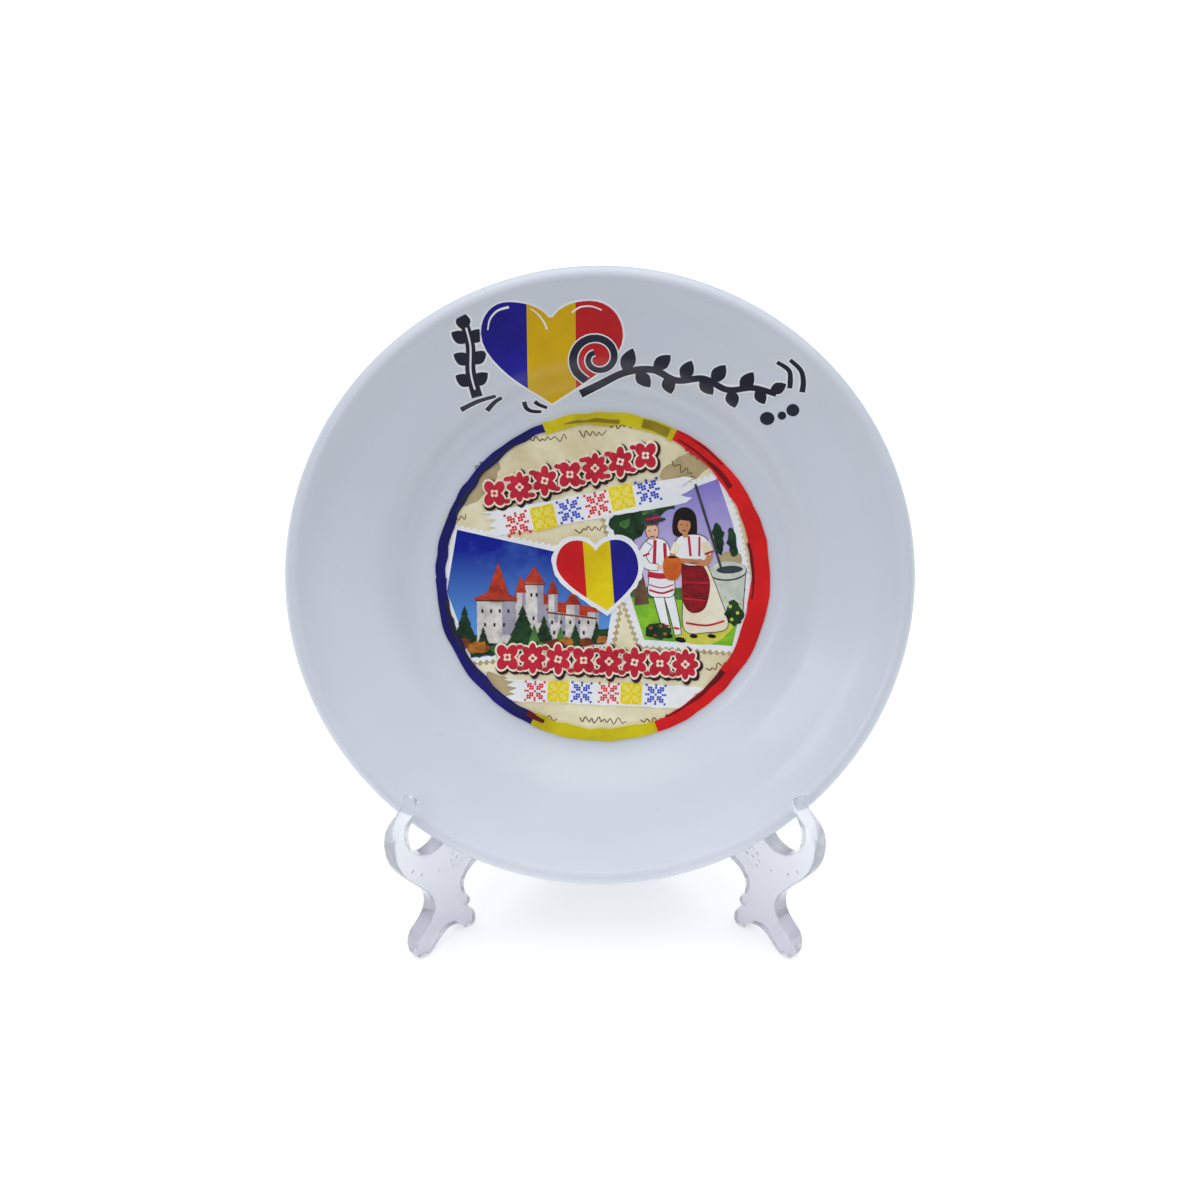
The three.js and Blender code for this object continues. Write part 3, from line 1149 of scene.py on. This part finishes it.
def castleShapes():
    corners = [(-35.4, 11.8), (-8.7, 6.2), (4.3, -8.2), (2.6, -17.8), (-32.2, -21.8), (-38.4, -4.2)]
    towers = [roofed(*tower) for tower in (
        (-25.2, 9.4, -6.2, -15, -3.6, 0.9), (-15.9, 4.4, -2.2, -12, 1.8, 0.4),
        (-19.2, 2, -4.6, -10, -0.6, 0.4),
        (-11.4, 2.2, -5, -12, -1.6, 0.4), (-6.6, 3.2, -7.6, -15, -4.4, 0.5),
        (-1.6, 2.8, -9.4, -15, -6.8, 0.4),
    )]
    blocks = [
        [(-30, -17), (-20, -17.4), (-20.4, -12), (-29.6, -12)],
        [(-21, -17), (-12, -17), (-12, -7.6), (-21, -7.2)],
        [(-13, -17), (-0.6, -17), (-0.6, -10.6), (-13, -9)],
    ]
    blockShades = [
        [(-14.2, -17), (-12, -17), (-12, -7.6), (-14.2, -7.6)],
        [(-9.6, -17), (-8.4, -17), (-8.4, -9.6), (-9.6, -9.4)],
    ]
    blockRoofs = [
        [(-21.4, -7.2), (-11.6, -7.6), (-13, -5), (-20.4, -4.8)],
        [(-13.2, -9), (-0.2, -10.8), (-1.8, -8.2), (-11.8, -6.6)],
        [(-27.6, -5.4), (-22, -5.4), (-24.5, 2.4), (-24.8, 2.4)],
    ]
    rows = (
        (-28.8, -9.6, 4, 2.1), (-16.9, -5.6, 2, 1.3), (-11.9, -12.4, 5, 2.2),
        (-28.2, -13, 3, 2.3), (-19.8, -11.4, 3, 1.7), (-11.4, -15, 4, 2.4),
    )
    openings = [window for row in rows for window in windowRow(*row)]
    eaves = strokes(
        ([(-30.2, -6.5), (-20.2, -6.5)], 0.5), ([(-18.4, -2.5), (-13.4, -2.5)], 0.4),
        ([(-12.8, -9.5), (-0.8, -11)], 0.4),
    )
    bushes = (
        (-34, -17.2, 5, 3, "rust"), (-29.6, -18.2, 5.4, 3, "autumn"), (-11.2, -17.4, 4.2, 2.6, "rust"),
        (-8.2, -16.8, 3.4, 2.2, "autumn"), (-24.4, -18.6, 5, 2.6, "leafGreen"),
        (-3.2, -16.8, 3.4, 2.2, "rust"),
        (0.6, -16.4, 2.6, 2, "autumn"), (-14.6, -18, 4, 2, "leafGreen"),
    )
    shapes = [
        (3, "umber", [moved(scalloped(corners), 0.7, -0.7)]),
        (4, "white", [scalloped(corners)]),
        (5, "blueSky", [inset(corners, 1.3)]),
        (6, "fir", [ragged(cut(inset(corners, 1.3), (-20, -14.6), 183), 0.35, 60, 1)]),
        (8, "wallShade", blockShades),
        (10, "wall", [tower[0] for tower in towers]),
        (11, "wallShade", [tower[1] for tower in towers]),
        (12, "roof", [tower[2] for tower in towers]),
        (12, "shadow", openings),
        (13, "rust", eaves),
        (13, "fir", firs((-18.8, -7.6, 8.2, 10.4), (-32.9, -7.8, 6.2, 9.6))),
        (14, "fir", firs(
            (-13.6, -10.2, 5.4, 7.6), (-6, -12.4, 4, 5.6), (-0.8, -11.6, 3.4, 6), (-28.4, -13, 3.4, 5.4),
        )),
        (15, "leafGreen", firs((-16, -12.4, 3.2, 5.2), (-9.6, -13, 3, 4.6), (-35.6, -10.6, 2.6, 6))),
    ]
    shapes += [(7, "wall", [block]) for block in blocks] + [(9, "roof", [roof]) for roof in blockRoofs]
    for k, (*spot, ink) in enumerate(bushes):
        shapes.append((16 + k % 2, ink, [ragged(oval(*spot, 0, 12), 0.3, 61 + k, 0.8)]))
    return shapes


# A generic pair in folk dress beside a draw well

def figureMan():
    shirt = blob([
        (11.2, 8), (13.4, 8.8), (16, 7.8), (17.2, 3.8), (18, -4.6), (15, -5.6), (11.8, -4.8), (12, 0.6),
        (10.8, 4.4),
    ])
    sleeve = stroke([(11.8, 7.4), (10.2, 4.6), (11.4, 2.2), (14, 1.6)], 2.1, 1.5)
    nearLeg = stroke([(14, -4.6), (15.2, -9.8), (16.4, -14.2)], 2.5, 1.6)
    farLeg = stroke([(16.6, -4.8), (18.0, -10.2), (19, -15)], 2.4, 1.5)
    shoes = [oval(16.4, -15.2, 2.7, 1.4, -14, 12), oval(19.6, -16.3, 2.7, 1.3, -14, 12)]
    return [
        *outlined(8.5, 9, "white", farLeg, 0.2),
        *outlined(9.5, 10, "white", nearLeg, 0.2),
        (
            11, "crimson",
            strokes(([(15.2, -12.6), (16.8, -12.9)], 0.5), ([(17.9, -13.3), (19.3, -13.6)], 0.5)),
        ),
        (11, "hair", shoes),
        *outlined(11, 12, "white", shirt, 0.18),
        *outlined(14, 15, "white", sleeve, 0.16),
        (16, "skin", [oval(14.4, 1.6, 1.4, 1.2, 0, 10)]),
        (13, "crimson", [
            stroke([(11.6, 0), (14.8, -0.5), (17.5, 0)], 1.4), stroke([(13.3, 8.4), (13.1, 0.8)], 0.8),
            stroke([(15.6, 7.6), (16, 1)], 0.8),
            stroke([(11.9, -3.9), (15, -4.7), (17.9, -3.8)], 0.5),
            stroke([(11.8, -2.6), (15, -3.4), (17.8, -2.6)], 0.3),
        ]),
        (16, "crimson", [stroke([(10.4, 4.4), (11.9, 5.1)], 0.5)]),
        (12, "shadow", [oval(12.6, 10.5, 3.3, 4, 8, 20)]),
        (13, "skin", [oval(12.6, 10.5, 3, 3.7, 8, 20)]),
        (14, "bark", [cut(oval(12.6, 11.3, 3.7, 3.6, 8, 24), (12.6, 11.9), 8)]),
        (15, "dusk", [oval(12.8, 13, 6.2, 1.3, 10, 18)]),
        (16, "dusk", [cut(oval(12.8, 13.2, 3.7, 3.9, 10, 24), (12.8, 13.1), 10)]),
        (17, "crimson", [stroke([(11.1, 13.4), (14.4, 14)], 0.5)]),
        (
            15, "shadow",
            faceMarks((11.9, 10.6), (13.3, 10.8), 0.36, ([(12.1, 9.3), (12.6, 9.15), (13.2, 9.4)], 0.24)),
        ),
    ]


def figureWoman():
    skirt = blob([(20.4, 3.8), (24.8, 3.8), (29, -5.6), (31, -13), (26, -14.4), (20.6, -13.8), (20.2, -5)], 5)
    blouse = blob([(18.6, 8.6), (21, 9.6), (25, 9.2), (27, 5.8), (25.4, 2.6), (20.6, 2.4), (17.8, 5.4)])
    apron = blob(
        [(19.8, 3.4), (23.6, 3.6), (26.6, -1.6), (25.6, -8.2), (22.4, -9.6), (20.2, -7), (19.8, -1)], 5,
    )
    return [
        (
            9, "hair",
            [smooth(
                [(17.6, 10), (18, 15), (20.6, 16.4), (23, 14.6), (23.4, 9.6), (22.6, 6.4), (20.4, 8.6)], 5,
                True,
            )],
        ),
        *outlined(13, 14, "cream", skirt, 0.18),
        (15, "wool", [apron]),
        *outlined(16, 17, "white", blouse, 0.18),
        (18, "cream", strokes(([(25.2, 7.8), (26.4, 5)], 2.4, 2.5), ([(18.8, 7.6), (17.6, 5)], 2, 1.8))),
        (18.5, "tan", [stroke([(17.5, 4.9), (18, 3.4), (19, 2.8)], 1.3, 1.1)]),
        (20, "tan", [stroke([(26.6, 4.6), (25.6, 2.8), (22.4, 3.1), (18.6, 3.4)], 1.7, 1.1)]),
        (
            19, "crimson",
            strokes(
                ([(27.5, 5.7), (25.3, 4.9)], 0.5), ([(21.4, 9.3), (21.9, 4.4)], 0.6),
                ([(24, 9.2), (24, 4.4)], 0.5),
            ),
        ),
        (
            19, "crimson",
            strokes(
                ([(20, 3.1), (24.6, 3.3)], 0.8), ([(20.3, -6), (25.6, -6.6)], 0.4),
                ([(20.1, -2), (26.2, -2.2)], 0.4),
            ),
        ),
        (16, "crimson", [stroke([(20.9, -12.1), (26, -12.7), (30.2, -11.6)], 0.5)]),
        (18, "tan", [stroke([(20.4, 10.4), (20.8, 9)], 1.3)]),
        (19, "tan", [oval(20.3, 11.9, 3.1, 4, -4, 20)]),
        (20, "hair", [cut(oval(20.3, 12.6, 3.7, 4.4, -4, 24), (20.3, 13.2), -8)]),
        (
            21, "shadow",
            faceMarks((19.6, 12.1), (21, 12), 0.34, ([(19.8, 10.8), (20.3, 10.65), (20.8, 10.8)], 0.22)),
        ),
        (10, "hair", [oval(22.8, -15.4, 2, 1, -6, 10), oval(27.2, -15.4, 2.2, 1, -8, 10)]),
        (9, "tan", strokes(([(22.8, -13.6), (22.7, -15)], 0.8), ([(26.8, -13.4), (27, -15)], 0.8))),
    ]


def villageShapes():
    corners = [(1.1, 14.7), (28.8, 24.8), (33.2, 13.3), (36.8, -4.2), (33, -19.2), (9.9, -17.6), (5.9, -5.9)]
    scene = inset(corners, 1.6)
    canopy = ragged(
        blob([
            (2.4, 13.2), (7, 16), (12, 17.6), (17.6, 19.2), (18, 16), (14.6, 14.6), (11, 11.2), (8.4, 8.6),
            (4.6, 8.4),
        ]),
        0.5, 71, 0.9,
    )
    jug = blob([(16, 4.2), (19, 4.2), (19.7, 1.8), (18.8, -1.2), (16.2, -1.2), (15.2, 1.8)])
    return [
        (3, "umber", [moved(scalloped(corners), -0.6, -0.7)]),
        (4, "white", [scalloped(corners)]),
        (5, "lilacSky", [scene]),
        (6, "leafGreen", [cut(scene, (20, -3.4), 179)]),
        (7, "grass", [cut(scene, (20, -6.4), 177)]),
        (
            8, "meadow",
            [blob([(18.6, -16.2), (21, -12.6), (26, -13), (31, -9.4), (32.4, -13), (27, -17.4)])],
        ),
        (10, "fir", [canopy]),
        (
            11, "leafGreen",
            [
                ragged(oval(6, 12.4, 3, 2, 20, 10), 0.3, 76, 0.7),
                ragged(oval(11.6, 15.4, 3.4, 1.6, 20, 10), 0.3, 77, 0.7),
            ],
        ),
        (9, "bark", [stroke([(6.6, 12.6), (7.6, 6), (9.4, -2), (10.2, -7.6)], 1.5, 3.6)]),
        (9, "fir", [ragged(oval(28.7, 8.6, 2.6, 8, 8, 12), 0.4, 72, 0.8)]),
        (9.4, "fir", [ragged(oval(31.9, 7.8, 2.4, 7.4, 8, 12), 0.4, 73, 0.8)]),
        (15, "dusk", [stroke([(22.9, 22), (26.2, 11.6), (29.4, 1.2)], 0.6)]),
        (11, "dusk", [[(26.2, 0.8), (35.4, 1.1), (34.8, -9.4), (27.4, -9.8)]]),
        (12, "stone", [[(26.4, 0.6), (35.2, 0.9), (34.6, -9.2), (27.6, -9.6)]]),
        (12.3, "dusk", [oval(30.8, 0.7, 9.6, 4.8, 2, 24)]),
        (12.6, "stone", [oval(30.8, 0.9, 9.2, 4.4, 2, 24)]),
        (14, "dusk", [oval(31.4, 1.1, 6.4, 1.9, 3, 20)]),
        (17, "fir", [ragged(oval(32.6, -9.8, 4.2, 6.4, 0, 12), 0.5, 74, 0.8)]),
        (
            18, "meadow",
            dots((31.6, -8, 0.9, 0.9), (33.4, -9.6, 0.9, 0.9), (32, -11.2, 0.9, 0.9), (34, -7.4, 0.7, 0.7)),
        ),
        (8, "umber", [blob([(28.6, 4), (31, 5.6), (34, 4.8), (33.8, 2), (30, 2)])]),
        (15, "fir", [ragged(oval(14.2, -14.2, 6.4, 4, 0, 14), 0.4, 75, 0.8)]),
        (
            16, "autumn",
            dots(
                (12.4, -13.4, 1, 0.9), (14.8, -12.8, 0.9, 0.9), (15.8, -14.8, 1, 0.8),
                (13.4, -15.2, 0.9, 0.7),
            ),
        ),
        (21, "clay", [jug]),
        (22, "shadow", [oval(17.5, 4.2, 2.4, 0.6, 0, 12)]),
    ] + figureMan() + figureWoman()


def bandedHeart(loop, firstCut, secondCut, turns, layer, names):
    first, second, third = names
    left = cut(loop, firstCut, turns[0])
    middle = cut(cut(loop, firstCut, turns[0] + 180), secondCut, turns[1])
    right = cut(loop, secondCut, turns[1] + 180)
    return [(layer, first, [left]), (layer + 1, second, [middle]), (layer, third, [right])]


def centreHeartShapes():
    loop = heart((1.8, -8.9), (-10.6, 2.6), (-5.6, 8.3), (-1.0, 5.2), (3.8, 8.5), (9.3, 1.4))
    border = heart((1.8, -10.3), (-11.8, 2.8), (-5.8, 9.4), (-1.0, 6.7), (4.0, 9.6), (10.5, 1.6))
    shapes = [(23, "white", [ragged(border, 0.2, 81, 0.9)])]
    return shapes + bandedHeart(loop, (-3.6, 0), (2.95, 0), (94, 94), 24, ("red", "yellow", "blue"))


# Pictures on the rim, above the well

def rimHeartShapes():
    loop = heart((-11.5, 41.4), (-27.8, 59.2), (-21.4, 66.6), (-11.5, 61.8), (-2.3, 66.8), (5.4, 58.4))
    shine = [
        stroke([(-26.2, 60), (-25.6, 62.6), (-23.8, 64.6), (-21.2, 65.4)], 0.3, 0.6),
        stroke([(-16.2, 65), (-14.4, 63.6), (-13, 61.6), (-12.4, 60)], 0.25, 0.5),
        stroke([(-6.6, 64), (-4.6, 65.3), (-2, 65.5), (0.4, 64.6)], 0.45, 0.3),
    ]
    shapes = [(1, "white", [grown(loop, 0.5)])]
    shapes += bandedHeart(loop, (-17.1, 50), (-5.7, 50), (90, 90), 2, ("blue", "gold", "scarlet"))
    return shapes + [(4, "white", shine)]


def spiral(u, v, outer, inner, turns, start):
    steps = round(turns * 14)
    points = []
    for i in range(steps + 1):
        angle = math.radians(start) - i / steps * turns * math.tau
        radius = outer + (inner - outer) * i / steps
        points.append((u + radius * math.cos(angle), v + radius * math.sin(angle)))
    return points


def rimVineShapes():
    curl = spiral(-0.6, 53.0, 6.4, 1.5, 1.35, 245)
    stem = [
        (-4.6, 43.8), (0, 46.2), (6, 49.4), (12.4, 50.2), (18, 47.6), (24.4, 48.2), (30, 45.6), (36, 46.2),
        (41.4, 44.8),
    ]
    leaves = [leaf(*spot) for spot in (
        (5.6, 49.6, 6.2, 3.6, 70), (8.6, 49.8, 5.4, 3.4, -52), (12.6, 50.2, 5.4, 3.4, 42),
        (15.6, 48.6, 4.8, 3.2, -74),
        (19.4, 47.8, 5.2, 3.4, 66), (23.6, 48.2, 5, 3.2, -52), (26.4, 47.4, 5.2, 3.4, 54),
        (30.6, 45.6, 4.6, 3.2, -74),
        (33.2, 45.6, 5.2, 3.3, 58), (36.8, 46, 4.2, 2.8, -62), (40, 45.2, 4.2, 2.8, 30),
    )]
    halo = [(5, "white", [stroke(curl, 2.6, 1.8, 2)]), (5, "white", [stroke(stem, 2.8, 2.2)])]
    halo += [(5, "white", [grown(shape, 0.4)]) for shape in leaves]
    inked = [(6, "lineInk", [stroke(curl, 2.0, 1.2, 2)]), (6, "lineInk", [stroke(stem, 2.0, 1.3)])]
    return halo + inked + [(7, "lineInk", [shape]) for shape in leaves]


def rimSprigShapes():
    stem = [(-29, 43.8), (-30.4, 50), (-30.3, 56), (-31.6, 61.8)]
    leaves = [leaf(-31.6, 60, 4.4, 3.4, 97)]
    for u, v in ((-30.7, 57.2), (-30.3, 52), (-30, 46.8)):
        leaves += [leaf(u, v, 4.6, 3.2, 150), leaf(u, v, 4.6, 3.2, 38)]
    veins = [stroke([(-29.5, 45.6), (-30.4, 50), (-30.3, 56), (-31.2, 60.6)], 0.45)]
    shapes = [
        (0, "white", [grown(shape, 0.5)]) for shape in leaves
    ] + [(0.5, "white", [stroke(stem, 3.6, 3)])]
    shapes += [(1, "lineInk", [shape]) for shape in leaves] + [(2, "lineInk", [stroke(stem, 2.6, 2)])]
    return shapes + [(3, "white", veins)]


def rimAccentShapes():
    dashes = [
        stroke([(-32.9, 40.7), (-29, 42.6), (-24.7, 43.8)], 1.25, 0.8),
        stroke([(-26.9, 40.1), (-25, 42.2), (-23.3, 43.3)], 1.25, 0.8),
        stroke([(-18.1, 42), (-17.6, 40.4), (-16.2, 39.6), (-14, 39.5)], 1.15, 0.7),
        stroke([(-15.6, 42), (-14.6, 41.2), (-12.6, 40.4)], 1.05, 0.7),
        stroke([(41.4, 52.5), (44.1, 50.7), (44.6, 48.4), (44.4, 46.3)], 0.9, 1.35),
        stroke([(44.4, 53.1), (46.9, 50.7), (47.6, 48), (47.4, 45.4)], 0.9, 1.35),
    ]
    dots = [oval(39.5, 38.8, 3.4, 3.2, 0, 20), oval(42.9, 39.6, 2, 2, 0, 16), oval(45.4, 41, 3, 3, 0, 20)]
    return [
        (0, "white", [grown(shape, 0.35)]) for shape in dashes
    ] + [(1, "lineInk", [shape]) for shape in dashes + dots]


printPicture("wellPicture", backgroundShapes(), ["centre_transfer"])
printPicture("ribbonPrints", ribbonShapes())
printPicture("castlePrint", castleShapes())
printPicture("villagePrint", villageShapes())
printPicture("middleHeartPrint", centreHeartShapes())
printPicture("rimHeartPrint", rimHeartShapes(), ["rim_heart_transfer"])
printPicture("rimVinePrint", rimVineShapes(), ["rim_vine_transfer"])
printPicture("rimSprigPrint", rimSprigShapes(), ["rim_sprig_transfer"])
printPicture("rimAccentPrint", rimAccentShapes(), ())
print("pictures printed")


# Stage

stageLook = {
    "floorSize": 8.0,
    "fadeFrom": -0.24,
    "fadeTo": -0.118,
    "frontFloor": (0.2, 0.2, 0.21, 1.0),
    "backFloor": (0.8, 0.8, 0.8, 1.0),
    "frontGlow": (0.0, 0.0, 0.0, 1.0),
    "backGlow": (0.46, 0.46, 0.46, 1.0),
    "horizon": (0.16, 0.17, 0.185, 1.0),
    "zenith": (0.95, 0.98, 1.0, 1.0),
    "skyStrength": 1.45,
    "middle": (0, 0, 0.09),
}

panels = (
    {
        "name": "overheadPanel", "location": (-0.1, -0.2, 1.3), "size": (1.6, 1.4),
        "power": 3.5, "colour": (1, 1, 1), "mirrored": False,
    },
    {
        "name": "leftWindow", "location": (-0.6, -1.03, 0.6), "size": (0.3, 0.42),
        "power": 1.1, "colour": (0.97, 0.98, 1), "mirrored": True,
    },
)


def makeFloor():
    bpy.ops.mesh.primitive_plane_add(size=stageLook["floorSize"], location=(0, 0, 0))
    floor = bpy.context.object
    floor.name = "studioFloor"
    paint = Paint("paleFloor", Roughness=0.9, Emission_Strength=1.0)
    depth = paint.add("ShaderNodeSeparateXYZ", {}, {0: paint.place()}, "Y")
    back = paint.ramp(depth, stageLook["fadeFrom"], stageLook["fadeTo"])
    paint.feed("Base Color", paint.mix(back, stageLook["frontFloor"], stageLook["backFloor"]))
    paint.feed("Emission Color", paint.mix(back, stageLook["frontGlow"], stageLook["backGlow"]))
    floor.data.materials.append(paint.material)


def makeLight(name, location, size, power, colour, mirrored):
    bpy.ops.object.light_add(type="AREA", location=location)
    lamp = bpy.context.object
    lamp.name = name
    lamp.data.shape = "RECTANGLE"
    lamp.data.size, lamp.data.size_y = size
    lamp.data.energy = power
    lamp.data.color = colour
    lamp.visible_glossy = mirrored
    aim = Vector(stageLook["middle"]) - Vector(location)
    lamp.rotation_euler = aim.to_track_quat("-Z", "Y").to_euler()


def makeStage():
    makeFloor()
    world = bpy.data.worlds.new("softStudio")
    sky = SkyPaint(world)
    around = sky.add("ShaderNodeTexCoord", {}, {}, "Generated")
    climb = sky.add("ShaderNodeSeparateXYZ", {}, {0: around}, "Z").clamped()
    sky.feed("Color", sky.mix(climb * climb, stageLook["horizon"], stageLook["zenith"]))
    sky.shader.inputs["Strength"].default_value = stageLook["skyStrength"]
    bpy.context.scene.world = world
    for panel in panels:
        makeLight(**panel)
    bpy.context.scene.view_settings.view_transform = "Standard"
    bpy.context.scene.view_settings.look = "None"


makeStage()

cameraSetup = {
    "distance": 600 * mm,
    "elevation": math.radians(30),
    "drop": 3.73 * mm,
    "lens": 75.9,
    "sensor": 36,
}


def makeCamera():
    tilt = cameraSetup["elevation"]
    forward = Vector((0, math.cos(tilt), -math.sin(tilt)))
    upward = Vector((0, math.sin(tilt), math.cos(tilt)))
    location = plateCentre - forward * cameraSetup["distance"] - upward * cameraSetup["drop"]
    bpy.ops.object.camera_add(location=location, rotation=(math.pi / 2 - tilt, 0, 0))
    camera = bpy.context.object
    camera.data.lens = cameraSetup["lens"]
    camera.data.sensor_width = cameraSetup["sensor"]
    bpy.context.scene.camera = camera


makeCamera()
print("stage set")
